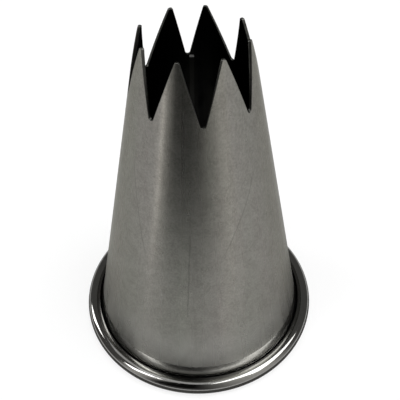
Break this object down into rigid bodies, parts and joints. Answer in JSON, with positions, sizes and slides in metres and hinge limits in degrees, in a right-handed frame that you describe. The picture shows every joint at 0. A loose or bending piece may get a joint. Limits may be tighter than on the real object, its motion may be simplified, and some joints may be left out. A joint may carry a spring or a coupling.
{
  "type": "piping nozzle",
  "caption": "Open star nozzle for a pastry bag: a plain steel cone with a toothed mouth, flared foot and rolled, wired rim.",
  "frame": {"origin": "centre of the rim's underside, on the surface that the nozzle stands on", "axes": "+Z along the nozzle's axis, from the rim to the star mouth; -Y towards the middle of a notch at the front"},
  "size_m": [0.0394, 0.0394, 0.0524],
  "materials": {
    "shell_steel": "satin cone with fine lengthwise scratches, polished flare and rim",
    "wire_steel": "drawn wire"
  },
  "bodies": {
    "root": {"nozzle_shell": "shell_steel", "rim_wire": "wire_steel"}
  },
  "joints": []
}
